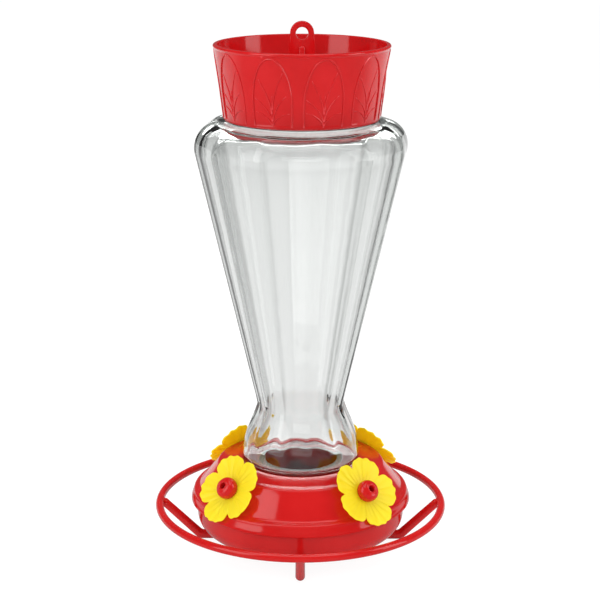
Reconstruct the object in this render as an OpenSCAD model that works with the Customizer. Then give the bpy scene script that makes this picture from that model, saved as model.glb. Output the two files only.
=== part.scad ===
// Hummingbird feeder that is filled from the top.
// A clear glass bottle with twelve flat panels screws into a red base of two parts, a cover over a
// nectar bowl. Four yellow flowers with red drilled ports sit on the cover, a perch ring goes round
// the base, and a red cap with an ant moat and a hanging tab closes the bottle.
// Millimetres, +Z up. The origin is on the axis, at the surface that the feeder stands on.
// The front faces -Y.

/* [Bowl] */
// Outer radius of the bowl's wall
bowl_r = 58.4; // [54:0.2:66]
// Height of the bowl's rim above the table
bowl_h = 29.8; // [26:0.2:33]
// Radius of the bowl's rounded lower corner
bowl_corner_r = 10; // [6:0.5:13]
// Gap between the bowl's floor and the table
bowl_lift = 8.9; // [7:0.1:10]
// Wall of the moulded red parts
wall = 1.8; // [1.4:0.1:2.2]
// Radius of the post that carries the stopper
post_r = 8; // [6:0.5:11]

/* [Cover] */
// Overlap of the cover's skirt and the bowl's rim
skirt_lap = 3.2; // [2:0.2:5]
// How far the skirt flares out at its lower edge
skirt_flare = 1.3; // [0.4:0.1:1.8]
// Height of the dome's foot above the skirt
dome_step = 1.4; // [1:0.1:4]
// Slant length of the dome's side, where the flowers sit
dome_side = 16.1; // [14:0.1:18]
// Share of the dome's side below a flower's middle
port_share = 0.62; // [0.5:0.01:0.64]
// Turn of the four ports from the diagonals
port_turn = -2.6; // [-10:0.2:10]
// Angle of the dome side's normal above the horizontal
dome_angle = 37.5; // [34:0.5:42]
// Rise of the shoulder from the dome's side to the bottle's socket
shoulder_rise = 3; // [2:0.2:4]
// Depth of the bottle's socket below the shoulder
socket_depth = 2.3; // [1.8:0.1:3.5]
// Clearance between parts that turn or slide in each other
fit = 0.4; // [0.3:0.05:0.6]

/* [Bottle] */
// Widest radius of the bottle, at the top of its panels
bottle_r = 57.7; // [52:0.5:64]
// Radius at the waist, between the cone and the foot
waist_r = 24.6; // [22:0.2:28]
// Widest radius of the flared foot
flare_r = 32.6; // [31:0.2:34]
// Height of the flared foot, from its underside to the waist
flare_h = 34; // [30:0.5:38]
// Height of the panelled cone, from the waist to the shoulder
cone_h = 141; // [120:1:170]
// Radius of the rounded shoulder
shoulder_r = 14.4; // [11:0.2:17]
// Number of flat panels round the bottle
panels = 12; // [8:1:16]
// Turn of the first panel ridge from the front
panel_turn = 7.7; // [0:0.1:30]
// Angle of the round ridge left between two panels
ridge_angle = 3; // [1:0.5:6]
// Thickness of the glass
glass = 3; // [2.4:0.1:3.6]
// Outer radius of the wide mouth at the top
mouth_r = 38; // [35:0.5:40]
// Height of the wide mouth above the shoulder
mouth_h = 18; // [15:0.5:22]
// Outer radius of the narrow neck below the foot
neck_r = 23.4; // [21.5:0.2:24]
// Length of the narrow neck
neck_h = 15; // [12:0.5:17]

/* [Cap] */
// Height of the cap's skirt and cup together
cap_h = 39.7; // [34:0.5:48]
// Outer radius of the cap's lower edge
cap_r = 42.1; // [41.9:0.1:44]
// Outer radius just below the cap's rim
cap_top_r = 46.4; // [45:0.2:50]
// How far the rolled lip stands out at the rim
lip = 1; // [0.5:0.1:1.6]
// Number of embossed arches round the cap
arches = 10; // [6:1:12]
// Width of an arch at its widest
arch_w = 21.5; // [16:0.5:23]
// Depth of the arches' recess
emboss = 0.5; // [0.3:0.1:0.8]
// Thickness of the flat seals
seal_t = 1.6; // [1.2:0.1:2.2]

/* [Hanging tab] */
// Width of the tab at its hole
tab_w = 12.8; // [10.5:0.2:16]
// Width of the tab at the moat's floor
tab_foot_w = 16.5; // [13:0.5:22]
// Thickness of the tab
tab_t = 3.4; // [2.4:0.2:5]
// Diameter of the hanging hole
tab_hole_d = 6.6; // [5:0.2:8]
// Height of the tab above the cap's rim
tab_rise = 11.8; // [9:0.2:16]

/* [Perch] */
// Radius of the perch ring to the middle of its tube
perch_r = 80; // [74:0.5:92]
// Diameter of the perch ring's tube
perch_d = 4.6; // [3.6:0.1:6]
// Height of the perch ring above the table
perch_z = 23.4; // [18:0.2:30]
// Number of struts
struts = 4; // [3:1:6]
// Diameter of a strut at its bend
strut_d = 5.4; // [4.6:0.1:6.4]
// Radius at which a strut bends to pass under the bowl
bend_r = 57.2; // [52:0.2:60]
// Outer radius of the cradle that carries the bowl
cradle_r = 32; // [26:0.5:36]

/* [Flowers] */
// Diameter of a flower across its petals
flower_d = 37.6; // [30:0.2:40]
// Number of petals
petals = 5; // [4:1:7]
// Radius of the notches between the petals
notch_r = 11; // [8:0.2:13]
// Thickness of a petal
petal_t = 1.1; // [0.8:0.1:1.6]
// How far the petal tips stand up from the flower's seat
cup_rise = 3.4; // [3:0.2:5]
// Diameter of the domed feeding port
port_d = 12; // [9:0.5:14]
// Height of the dome above the flower
port_h = 5.6; // [3:0.2:6.5]
// Diameter of the drinking hole
port_hole_d = 3.3; // [2.4:0.1:4.2]

/* [Hidden] */
$fn = 96;

red = "firebrick";
yellow = "gold";
rubber = "dimgray";

// Small gap that keeps a pressed-in piece from cutting its seat
seat_gap = 0.05;
// Steps of a rounded stretch in an outline
steps = 8;
// Length by which a cutter runs past what it cuts
past = 1;

// Heights of the base, from the table up
skirt_z = bowl_h - skirt_lap;
skirt_top_z = bowl_h + seal_t + wall;
dome_fillet_r = 2.5;
step_z = skirt_top_z + dome_step;
dome_foot_r = bowl_r - 1.7;
dome_top_r = dome_foot_r - dome_side * sin(dome_angle);
dome_top_z = step_z + dome_side * cos(dome_angle);
socket_r = flare_r - 0.4;
socket_edge_z = dome_top_z + shoulder_rise;
seat_z = socket_edge_z - socket_depth;
foot_z = seat_z + seal_t;

// Radii of the base
skirt_in_r = bowl_r + fit;
skirt_out_r = skirt_in_r + wall;
collar_in_r = neck_r + fit;
collar_out_r = collar_in_r + wall;
bowl_corner_x = bowl_r - bowl_corner_r;
bowl_corner_z = bowl_lift + bowl_corner_r;

// Heights of the bottle
neck_z = foot_z - neck_h;
waist_z = foot_z + flare_h;
cone_top_z = waist_z + cone_h;
cone_tilt = atan((bottle_r - waist_r) / cone_h);
shoulder_x = bottle_r - shoulder_r * cos(cone_tilt);
shoulder_z = cone_top_z + shoulder_r * sin(cone_tilt);
shoulder_top_z = shoulder_z + shoulder_r;
mouth_z = shoulder_top_z + mouth_h;
waist_band = 1.2;
bead_r = mouth_r + 2;
bead_h = 3.2;
panel_cos = cos(180 / panels - ridge_angle / 2);

// Heights and radii of the cap
cap_floor_z = mouth_z + seal_t;
cap_z = shoulder_top_z + 0.9;
cap_rim_z = cap_z + cap_h;
cap_in_r = bead_r + fit - 0.1;
lip_h = 2;
tab_top_z = cap_rim_z + tab_rise;
tab_hole_z = tab_top_z - tab_w / 2;

// Stopper on the post, pressed against the narrow neck's end
stopper_t = 2.6;
stopper_r = neck_r + 0.8;
plug_r = neck_r - glass - 0.9;
plug_h = 3.4;
peg_r = 3.6;
peg_h = 3;
post_z = neck_z - stopper_t;

// Perch cradle under the bowl
cradle_w = 6;
cradle_gap = 0.1;

// Seats of the flowers on the dome's side
port_r = dome_foot_r + port_share * (dome_top_r - dome_foot_r);
port_z = step_z + port_share * (dome_top_z - step_z);
port_stem_r = 3.5;
port_angles = [for (angle = [225, 315, 135, 45]) angle + port_turn];

// Points of an arc round a centre, from one angle to another
function arc(x, z, r, a, b, n = steps) =
    [for (i = [0:n]) let (t = a + (b - a) * i / n) [x + r * cos(t), z + r * sin(t)]];

// Points of a smooth curve through four control points
function curve(p, q, r, s, n = steps) =
    [for (i = [0:n]) let (t = i / n, u = 1 - t)
        u * u * u * p + 3 * u * u * t * q + 3 * u * t * t * r + t * t * t * s];

// A path moved sideways by d, to the left of its direction
function inset(path, d) =
    [for (i = [0:len(path) - 1])
        let (a = path[max(i - 1, 0)], b = path[min(i + 1, len(path) - 1)], t = (b - a) / norm(b - a))
        path[i] + d * [-t.y, t.x]];

function flip(path) = [for (i = [len(path) - 1:-1:0]) path[i]];

module revolve(outline) {
    rotate_extrude() polygon(outline);
}

module at_port(angle) {
    rotate([0, 0, angle]) translate([port_r, 0, port_z]) rotate([0, 90 - dome_angle, 0]) children();
}

// Bowl

// Outside of the bowl from its floor to its rim, moved out by d
function bowl_side(d = 0) = concat(
    arc(bowl_corner_x, bowl_corner_z, bowl_corner_r + d, -90, 0),
    [[bowl_r + d, bowl_h]]);

module base_bowl() {
    post_in_r = post_r - wall;
    foot_ring_r = cradle_r - cradle_w - seat_gap;
    foot_ring_z = bowl_lift - 2.5;
    color(red) {
        revolve(concat(
            [[post_in_r, bowl_lift]],
            bowl_side(),
            flip(bowl_side(-wall)),
            [[post_r, bowl_lift + wall], [post_r, post_z], [peg_r, post_z], [peg_r, post_z + peg_h],
            [0, post_z + peg_h], [0, post_z - wall], [post_in_r, post_z - wall]]));
        revolve([[foot_ring_r - wall, foot_ring_z], [foot_ring_r, foot_ring_z],
            [foot_ring_r, bowl_lift + wall], [foot_ring_r - wall, bowl_lift + wall]]);
    }
}

// Flat ring on the bowl's rim
module bowl_seal() {
    color(rubber) revolve([[bowl_r - wall, bowl_h], [bowl_r, bowl_h],
        [bowl_r, bowl_h + seal_t], [bowl_r - wall, bowl_h + seal_t]]);
}

// Rubber stopper that shuts the bottle's narrow neck from below
module valve_stopper() {
    seat_r = peg_r + seat_gap;
    color(rubber) revolve([[seat_r, post_z], [stopper_r, post_z], [stopper_r, neck_z],
        [plug_r, neck_z], [plug_r - 0.8, neck_z + plug_h], [0, neck_z + plug_h],
        [0, post_z + peg_h], [seat_r, post_z + peg_h]]);
}

// Perch

// Bar from the ring down to the bend, then inwards to the cradle
module strut() {
    rod_r = strut_d / 2;
    tip_r = rod_r - 0.2;
    tip = [perch_r - perch_d * 0.4, perch_z - perch_d * 0.1];
    bend = [bend_r, rod_r];
    run = tip - bend;
    translate([bend.x, 0, bend.y]) {
        sphere(r = rod_r);
        rotate([0, 90 - atan2(run.y, run.x), 0]) cylinder(r1 = rod_r, r2 = tip_r, h = norm(run));
        rotate([0, -90, 0]) cylinder(r = rod_r, h = bend_r - cradle_r + cradle_w / 2);
    }
}

module perch() {
    cradle_z = bowl_lift - cradle_gap;
    color(red) {
        rotate_extrude() translate([perch_r, perch_z]) circle(d = perch_d);
        for (i = [0:struts - 1])
            rotate([0, 0, 360 / struts * i - 90]) strut();
        revolve([[cradle_r - cradle_w, 0], [cradle_r - 0.6, 0], [cradle_r, 0.6],
            [cradle_r, cradle_z], [cradle_r - cradle_w, cradle_z]]);
    }
}

// Cover

// Outside of the cover from the skirt's lower edge to the socket
cover_side = concat(
    [[skirt_out_r + skirt_flare - 0.5, skirt_z]],
    curve([skirt_out_r + skirt_flare, skirt_z + 0.5], [skirt_out_r + skirt_flare, skirt_z + 2],
        [skirt_out_r + 0.3, skirt_top_z - 3], [skirt_out_r - 0.1, skirt_top_z - 1.3], 5),
    arc(skirt_out_r - 1.3, skirt_top_z - 1.2, 1.2, 10, 80, 4),
    arc(dome_foot_r + dome_fillet_r * cos(dome_angle), step_z + dome_fillet_r * sin(dome_angle),
        dome_fillet_r, -96, -180 + dome_angle, 4),
    arc(dome_top_r - 2 * cos(dome_angle), dome_top_z - 2 * sin(dome_angle), 2, dome_angle, 80, 4),
    curve([dome_top_r - 4, dome_top_z + 0.9], [dome_top_r - 7, dome_top_z + 1.4],
        [socket_r + 5, socket_edge_z], [socket_r + 0.8, socket_edge_z], 5));

// Outside of the dome alone, without the skirt's band
cover_top = [for (p = cover_side) if (p.y > skirt_top_z + 0.1) p];

module base_cover() {
    rib_r = bowl_r - wall;
    rib_z = bowl_h + seal_t;
    color(red) difference() {
        revolve(concat(
            [[skirt_in_r, skirt_z + 2], [skirt_in_r + skirt_flare * 0.7, skirt_z]],
            cover_side,
            [[socket_r, socket_edge_z - 0.6], [socket_r, seat_z], [collar_in_r, seat_z],
            [collar_in_r, neck_z + 3], [collar_out_r, neck_z + 3], [collar_out_r, seat_z - wall],
            [socket_r + wall, seat_z - wall]],
            flip([for (p = inset(cover_top, wall)) if (p.x < rib_r) p]),
            [[rib_r, rib_z], [skirt_in_r, rib_z]]));
        for (angle = port_angles)
            at_port(angle) translate([0, 0, -2 * wall]) cylinder(r = port_stem_r + seat_gap, h = 4 * wall);
    }
}

// Flat ring in the socket, under the bottle's foot
module bottle_seal() {
    color(rubber) revolve([[collar_in_r, seat_z], [flare_r - 4, seat_z],
        [flare_r - 4, foot_z], [collar_in_r, foot_z]]);
}

// Flowers and ports

// Distance of the petals' edge from the centre at an angle
function petal_edge(a) =
    let (span = 360 / petals, t = (a % span) / span * 2 - 1)
    notch_r + (flower_d / 2 - notch_r) * sqrt(1 - pow(abs(t), 3.5)) + 0.3 * cos(6 * span * t) * (1 - t * t);

// Height of a flower's underside above its seat, at a distance from the centre
function cup(r) = 0.6 + (cup_rise - 0.6) * pow(r / (flower_d / 2), 1.5);

module flower() {
    rim = flower_d / 2 + past;
    hole = port_stem_r + seat_gap;
    radii = [for (i = [0:7]) port_d / 2 + (rim - port_d / 2) * i / 7];
    under = [for (r = radii) [r, cup(r)]];
    color(yellow) union() {
        intersection() {
            revolve(concat([[port_d / 2 - past, cup(port_d / 2)]], under,
                flip([for (p = under) p + [0, petal_t]]), [[port_d / 2 - past, cup(port_d / 2) + petal_t]]));
            linear_extrude(height = 3 * cup_rise)
                polygon([for (i = [0:119]) petal_edge(3 * i) * [cos(3 * i), sin(3 * i)]]);
        }
        difference() {
            cylinder(d = port_d - 0.5, h = cup(port_d / 2) + petal_t);
            translate([0, 0, -past]) cylinder(r = hole, h = 3 * cup_rise);
        }
    }
}

module port() {
    seat = cup(port_d / 2) + petal_t;
    clip_r = port_stem_r + 0.5;
    hole_r = port_hole_d / 2;
    color(red) revolve(concat(
        [[hole_r, -wall - 2.6], [port_stem_r - 0.4, -wall - 2.6], [clip_r, -wall - 1.4],
        [clip_r, -wall - 0.2], [port_stem_r, -wall - 0.2], [port_stem_r, seat], [port_d / 2 - 0.4, seat]],
        curve([port_d / 2, seat + 0.4], [port_d / 2, seat + port_h * 0.6],
            [port_d / 3, seat + port_h], [hole_r + 1, seat + port_h]),
        [[hole_r, seat + port_h - 0.5]]));
}

// Bottle

// Outside of the glass from the narrow neck's end to the wide mouth
glass_side = concat(
    [[neck_r - 0.8, neck_z], [neck_r, neck_z + 0.8], [neck_r, foot_z]],
    arc(flare_r - 3.6, foot_z + 3.6, 3.6, -90, 0),
    curve([flare_r - 0.1, foot_z + 7], [flare_r - 1, foot_z + 19], [waist_r + 3.6, waist_z - 12],
        [waist_r, waist_z - waist_band / 2]),
    [[waist_r, waist_z + waist_band / 2]],
    arc(shoulder_x, shoulder_z, shoulder_r, -cone_tilt, 84, 12),
    [[bead_r, shoulder_top_z], [bead_r, shoulder_top_z + bead_h], [mouth_r, shoulder_top_z + bead_h + 0.6],
    [mouth_r, mouth_z - 0.8], [mouth_r - 0.8, mouth_z]]);

// Inside of the glass, round where the outside has panels
bore_r = neck_r - glass;
glass_bore = concat(
    [[bore_r, neck_z], [bore_r, foot_z + 1]],
    arc(flare_r - 3.6, foot_z + 3.8, 3.8 - glass * 0.6, -70, 0, 4),
    curve([flare_r - glass * 0.8, foot_z + 8], [flare_r - glass, foot_z + 18],
        [waist_r - glass, waist_z - 11], [waist_r - glass, waist_z]),
    arc(shoulder_x, shoulder_z, shoulder_r - glass - 1.6, -cone_tilt, 84, 10),
    [[mouth_r - glass, shoulder_top_z], [mouth_r - glass, mouth_z]]);

// One flat panel's cutter: everything beyond a plane that leans out by tilt, at the given height
module panel_cutter(apothem, z, tilt, below, above) {
    size = 2 * bottle_r;
    translate([apothem, 0, z]) rotate([0, tilt, 0])
        translate([0, -size / 2, -below]) cube([size, size, below + above]);
}

module bottle() {
    slant = cone_h / cos(cone_tilt);
    flat_tilt = atan((bottle_r - waist_r) * panel_cos / cone_h);
    foot_tilt = 20.5;
    color("lightblue", 0.5) difference() {
        revolve(concat(glass_side, flip(glass_bore)));
        for (i = [0:panels - 1])
            rotate([0, 0, panel_turn - 90 + 360 / panels * (i + 0.5)]) {
                panel_cutter(waist_r * panel_cos, waist_z, flat_tilt, 0, slant + shoulder_r);
                panel_cutter(waist_r * panel_cos, waist_z, -foot_tilt, 24, 0);
            }
    }
}

// Cap

// Outline of an arch, standing on the x axis, with its sides set in by d
function arch(w, h, d = 0) =
    let (side = [for (i = [0:12]) let (t = i / 12, s = t < 0.35 ? (0.35 - t) * 0.9 : (t - 0.35) / 0.65)
        [(w / 2 - d) * sqrt(1 - s * s), d + t * (h - 2 * d)]])
    concat(side, [for (p = flip(side)) [-p.x, p.y]]);

module arch_recess(h) {
    rotate([90, 0, 90]) linear_extrude(height = cap_top_r + lip + past) polygon(arch(arch_w, h));
}

module cap_gasket() {
    color(rubber) revolve([[mouth_r - glass, mouth_z], [mouth_r + 1.4, mouth_z],
        [mouth_r + 1.4, cap_floor_z], [mouth_r - glass, cap_floor_z]]);
}

module moat_cap() {
    slope = (cap_top_r - cap_r) / (cap_h - lip_h);
    floor_z = cap_floor_z + wall;
    floor_r = cap_r + slope * (floor_z - cap_z) - wall;
    arch_z = 1.6;
    arch_h = cap_h - lip_h - 2.4;
    color(red) {
        difference() {
            revolve(concat(
                [[cap_in_r, cap_z], [cap_r - 0.5, cap_z], [cap_r, cap_z + 0.5]],
                [[cap_top_r, cap_rim_z - lip_h]],
                arc(cap_top_r, cap_rim_z - lip_h / 2, lip_h / 2, -60, 90, 6),
                [[cap_top_r - wall, cap_rim_z], [floor_r + 0.8, floor_z + 1.2], [floor_r - 0.8, floor_z],
                [0, floor_z], [0, cap_floor_z], [cap_in_r, cap_floor_z]]));
            intersection() {
                revolve([[cap_r - emboss, cap_z], [cap_r + 2 * lip, cap_z],
                    [cap_top_r + 2 * lip, cap_rim_z - lip_h], [cap_top_r - emboss, cap_rim_z - lip_h]]);
                for (i = [0:arches - 1])
                    rotate([0, 0, 360 / arches * i - 90 + 15.3])
                        translate([0, 0, cap_z + arch_z]) arch_recess(arch_h);
            }
        }
        hanging_tab(floor_z);
    }
}

// Tab with a hole, standing on the moat's floor, with a rib on each side
module hanging_tab(floor_z) {
    h = tab_hole_z - floor_z;
    rib_w = 3;
    rib_reach = 6.5;
    rib_h = h - 7;
    difference() {
        translate([0, tab_t / 2, 0]) rotate([90, 0, 0]) linear_extrude(height = tab_t) union() {
            translate([0, tab_hole_z]) circle(d = tab_w);
            polygon([[-tab_foot_w / 2, floor_z - wall / 2], [tab_foot_w / 2, floor_z - wall / 2],
                [tab_w / 2, tab_hole_z], [-tab_w / 2, tab_hole_z]]);
        }
        translate([0, tab_t, tab_hole_z]) rotate([90, 0, 0]) cylinder(d = tab_hole_d, h = 2 * tab_t);
    }
    for (side = [0, 180])
        rotate([0, 0, side]) translate([rib_w / 2, 0, floor_z - wall / 2]) rotate([0, -90, 0])
            linear_extrude(height = rib_w)
                polygon([[0, 0], [0, tab_t / 2 + rib_reach], [rib_h, tab_t / 2 + 0.6], [rib_h + 1, 0]]);
}

moat_cap();
cap_gasket();
bottle();
bottle_seal();
base_cover();
bowl_seal();
base_bowl();
perch();
valve_stopper();
at_port(port_angles[0]) flower();  // flower_front_left
at_port(port_angles[1]) flower();  // flower_front_right
at_port(port_angles[2]) flower();  // flower_back_left
at_port(port_angles[3]) flower();  // flower_back_right
at_port(port_angles[0]) port();  // port_front_left
at_port(port_angles[1]) port();  // port_front_right
at_port(port_angles[2]) port();  // port_back_left
at_port(port_angles[3]) port();  // port_back_right
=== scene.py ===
# %% [markdown]
# # A hummingbird feeder
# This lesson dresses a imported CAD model: a fluted glass bottle, a red moulded base with flower ports
# and a perch ring, and a red cap that holds an ant moat. The CAD model gives every size and every
# moving body. Here each piece gets its fine shape and its finish.

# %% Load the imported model
import math
import bpy
from mathutils import Matrix, Vector


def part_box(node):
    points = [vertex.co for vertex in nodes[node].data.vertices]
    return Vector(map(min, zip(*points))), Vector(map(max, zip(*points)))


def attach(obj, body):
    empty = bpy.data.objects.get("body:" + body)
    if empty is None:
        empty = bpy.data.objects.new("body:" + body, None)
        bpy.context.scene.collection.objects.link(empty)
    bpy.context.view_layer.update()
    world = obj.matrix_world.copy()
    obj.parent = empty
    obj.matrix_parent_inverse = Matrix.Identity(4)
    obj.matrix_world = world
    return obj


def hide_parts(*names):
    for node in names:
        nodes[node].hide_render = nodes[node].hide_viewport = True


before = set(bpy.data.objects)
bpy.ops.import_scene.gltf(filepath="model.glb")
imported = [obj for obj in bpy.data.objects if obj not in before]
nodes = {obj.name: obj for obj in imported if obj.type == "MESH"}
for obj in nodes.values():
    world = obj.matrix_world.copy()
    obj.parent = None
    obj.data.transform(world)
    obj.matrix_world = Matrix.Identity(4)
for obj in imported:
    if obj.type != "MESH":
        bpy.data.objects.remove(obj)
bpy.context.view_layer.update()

# %% [markdown]
# ## Camera
# The picture was taken with a long lens from a little above the perch ring. A lens of 100 mm on a
# 36 mm sensor, 0.89 m in front of the axis and looking down by 15.4 degrees, puts the ring, the cap's
# rim and the hanging tab where the photograph has them. The camera rolls by a fifth of a degree,
# because the bottle leans that much in the frame.

# %% Camera
camera_data = bpy.data.cameras.new("camera")
camera_data.sensor_width = 36.0
camera_data.lens = 99.9
camera_data.shift_x = -0.0019
camera = bpy.data.objects.new("camera", camera_data)
bpy.context.scene.collection.objects.link(camera)
pitch_down = math.radians(15.42)
roll = math.radians(0.2)
turn_to_view = Matrix.Rotation(math.pi / 2 - pitch_down, 4, "X") @ Matrix.Rotation(roll, 4, "Z")
camera.matrix_world = Matrix.Translation((0, -0.886, 0.3864)) @ turn_to_view
bpy.context.scene.camera = camera
bpy.context.scene.view_settings.view_transform = "Standard"

# %% [markdown]
# ## Shaping tools
# Nearly every piece of the feeder is turned: its section goes round the axis. So the main tool draws
# a section as points, in millimetres from the axis and above the table, and spins it. Arcs and smooth
# curves are worked out from a few points, which keeps a section easy to read.

# %% Lines and sections
MM = 0.001
WELD = 1e-6


def arc(x, z, r, a, b, steps=12):
    """Points of an arc round (x, z), from angle a to angle b in degrees."""
    angles = [math.radians(a + (b - a) * i / steps) for i in range(steps + 1)]
    return [(x + r * math.cos(t), z + r * math.sin(t)) for t in angles]


def curve(p, q, r, s, steps=14):
    """Points of a smooth curve from p to s that leaves towards q and arrives from r."""
    points = []
    for i in range(steps + 1):
        t = i / steps
        weights = ((1 - t) ** 3, 3 * (1 - t) ** 2 * t, 3 * (1 - t) * t * t, t ** 3)
        points.append(tuple(sum(w * c[k] for w, c in zip(weights, (p, q, r, s))) for k in (0, 1)))
    return points


def spaced(p, q, steps):
    """Points between p and q, without p."""
    across, up = q[0] - p[0], q[1] - p[1]
    return [(p[0] + across * i / steps, p[1] + up * i / steps) for i in range(1, steps + 1)]


def moved_in(path, d):
    """A path moved sideways by d, to the left of its direction."""
    points = []
    for i, (x, z) in enumerate(path):
        a, b = path[max(i - 1, 0)], path[min(i + 1, len(path) - 1)]
        run = math.hypot(b[0] - a[0], b[1] - a[1])
        points.append((x - d * (b[1] - a[1]) / run, z + d * (b[0] - a[0]) / run))
    return points


# %% Mesh tools
def only(*objs):
    """Deselect everything, then select these objects and make the first one active."""
    if bpy.context.object and bpy.context.object.mode != "OBJECT":
        bpy.ops.object.mode_set(mode="OBJECT")
    bpy.ops.object.select_all(action="DESELECT")
    for obj in objs:
        obj.select_set(True)
    bpy.context.view_layer.objects.active = objs[0]


def new_mesh(name, verts, edges=(), faces=()):
    """A mesh object from points in millimetres."""
    mesh = bpy.data.meshes.new(name)
    mesh.from_pydata([tuple(c * MM for c in v) for v in verts], list(edges), list(faces))
    obj = bpy.data.objects.new(name, mesh)
    bpy.context.scene.collection.objects.link(obj)
    return obj


def weld(obj):
    """Merge doubled points and point every face outwards."""
    only(obj)
    bpy.ops.object.mode_set(mode="EDIT")
    bpy.ops.mesh.select_all(action="SELECT")
    bpy.ops.mesh.remove_doubles(threshold=WELD)
    bpy.ops.mesh.normals_make_consistent(inside=False)
    bpy.ops.object.mode_set(mode="OBJECT")


def turned(name, section, closed=True, steps=144):
    """Spin a section, given as (radius, height) points, once round the axis."""
    count = len(section)
    edges = [(i, i + 1) for i in range(count - 1)]
    if closed:
        edges.append((count - 1, 0))
    obj = new_mesh(name, [(r, 0, z) for r, z in section], edges)
    only(obj)
    bpy.ops.object.mode_set(mode="EDIT")
    bpy.ops.mesh.select_all(action="SELECT")
    bpy.ops.mesh.spin(steps=steps, angle=2 * math.pi, center=(0, 0, 0), axis=(0, 0, 1))
    bpy.ops.object.mode_set(mode="OBJECT")
    weld(obj)
    return obj


def drawn(name, paths, thick, sides=2):
    """Round rods along paths of (x, y, z, share of the thickness), made into one mesh."""
    line = bpy.data.curves.new(name, "CURVE")
    line.dimensions = "3D"
    line.bevel_depth = thick / 2 * MM
    line.bevel_resolution = sides
    line.use_fill_caps = True
    for path in paths:
        spline = line.splines.new("POLY")
        spline.points.add(len(path) - 1)
        for point, (x, y, z, share) in zip(spline.points, path):
            point.co = (x * MM, y * MM, z * MM, 1)
            point.radius = share
    obj = bpy.data.objects.new(name, line)
    bpy.context.scene.collection.objects.link(obj)
    only(obj)
    bpy.ops.object.convert(target="MESH")
    return bpy.context.object


def joined(obj, *others):
    """Join other meshes into obj."""
    only(obj, *others)
    bpy.ops.object.join()
    return obj


def apply_modifier(obj, kind, **settings):
    """Add a modifier with its settings and apply it."""
    modifier = obj.modifiers.new(kind.lower(), kind)
    for key, value in settings.items():
        setattr(modifier, key, value)
    only(obj)
    bpy.ops.object.modifier_apply(modifier=modifier.name)
    return obj


def copied(obj, name):
    """A copy with its own mesh."""
    copy = obj.copy()
    copy.data = obj.data.copy()
    copy.name = copy.data.name = name
    bpy.context.scene.collection.objects.link(copy)
    return copy


def finish_piece(obj, body, material, stands_for=(), angle=32):
    """Smooth shading, material, body and the CAD nodes that the piece stands for."""
    only(obj)
    bpy.ops.object.transform_apply(location=True, rotation=True, scale=True)
    bpy.ops.object.shade_smooth_by_angle(angle=math.radians(angle))
    obj.data.materials.clear()
    obj.data.materials.append(material)
    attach(obj, body)
    if stands_for:
        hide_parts(*stands_for)
    size = obj.dimensions
    print(f"{obj.name}: {len(obj.data.polygons)} faces, {size.x * 1000:.1f} x {size.y * 1000:.1f} x "
          f"{size.z * 1000:.1f} mm")
    return obj


# %% [markdown]
# ## Moulded plastic
# Injection-moulded plastic isn't a perfect mirror: its skin has a faint orange peel, and its gloss
# changes a little from place to place. Both effects come from noise on the object's own coordinates,
# so they stay with the piece. The same node group also gives a mask of thin raised lines and sharp
# edges, where a material can paint a lighter colour as a painted highlight. The reds, the yellow and
# the rubber use it with their own values.

# %% Moulded skin group
def add_node(tree, kind, **settings):
    """A shader node with its settings, by name, or by input name where the node has such an input."""
    node = tree.nodes.new(kind)
    for key, value in settings.items():
        label = key.replace("_", " ")
        if label in node.inputs:
            node.inputs[label].default_value = value
        else:
            setattr(node, key, value)
    return node


def new_group(name, inputs, outputs):
    group = bpy.data.node_groups.new(name, "ShaderNodeTree")
    for label, kind, value in inputs:
        socket = group.interface.new_socket(name=label, in_out="INPUT", socket_type=kind)
        socket.default_value = value
    for label, kind in outputs:
        group.interface.new_socket(name=label, in_out="OUTPUT", socket_type=kind)
    return group, group.nodes.new("NodeGroupInput"), group.nodes.new("NodeGroupOutput")


skin, skin_in, skin_out = new_group(
    "moulded_skin",
    [("Gloss", "NodeSocketFloat", 0.2), ("Gloss Spread", "NodeSocketFloat", 0.08),
     ("Peel Size", "NodeSocketFloat", 700.0), ("Peel Depth", "NodeSocketFloat", 0.02)],
    [("Roughness", "NodeSocketFloat"), ("Flow", "NodeSocketFloat"), ("Ridge", "NodeSocketFloat"),
     ("Normal", "NodeSocketVector")])
coords = add_node(skin, "ShaderNodeTexCoord")
peel = add_node(skin, "ShaderNodeTexNoise", Detail=2.0)
flow = add_node(skin, "ShaderNodeTexNoise", Scale=38.0, Detail=3.0)
spread = add_node(skin, "ShaderNodeMath", operation="MULTIPLY_ADD")
bump = add_node(skin, "ShaderNodeBump", Distance=0.0002)
shape = add_node(skin, "ShaderNodeNewGeometry")
# Pointiness marks thin raised lines and sharp edges; a material paints a lighter colour there, a painted
# highlight.
ridge = add_node(skin, "ShaderNodeMapRange")
ridge.inputs["From Min"].default_value = 0.55
ridge.inputs["From Max"].default_value = 0.72
link = skin.links.new
link(shape.outputs["Pointiness"], ridge.inputs["Value"])
link(ridge.outputs["Result"], skin_out.inputs["Ridge"])
link(coords.outputs["Object"], peel.inputs["Vector"])
link(coords.outputs["Object"], flow.inputs["Vector"])
link(skin_in.outputs["Peel Size"], peel.inputs["Scale"])
link(flow.outputs["Fac"], spread.inputs[0])
link(skin_in.outputs["Gloss Spread"], spread.inputs[1])
link(skin_in.outputs["Gloss"], spread.inputs[2])
link(peel.outputs["Fac"], bump.inputs["Height"])
link(skin_in.outputs["Peel Depth"], bump.inputs["Strength"])
link(spread.outputs["Value"], skin_out.inputs["Roughness"])
link(flow.outputs["Fac"], skin_out.inputs["Flow"])
link(bump.outputs["Normal"], skin_out.inputs["Normal"])
print("moulded skin group:", len(skin.nodes), "nodes")


# %% Plastic and rubber
MIX_FACTOR, MIX_A, MIX_B, MIX_RESULT = 0, 6, 7, 2


def new_material(name):
    material = bpy.data.materials.new(name)
    material.use_nodes = True
    return material, material.node_tree, material.node_tree.nodes["Principled BSDF"]


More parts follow.
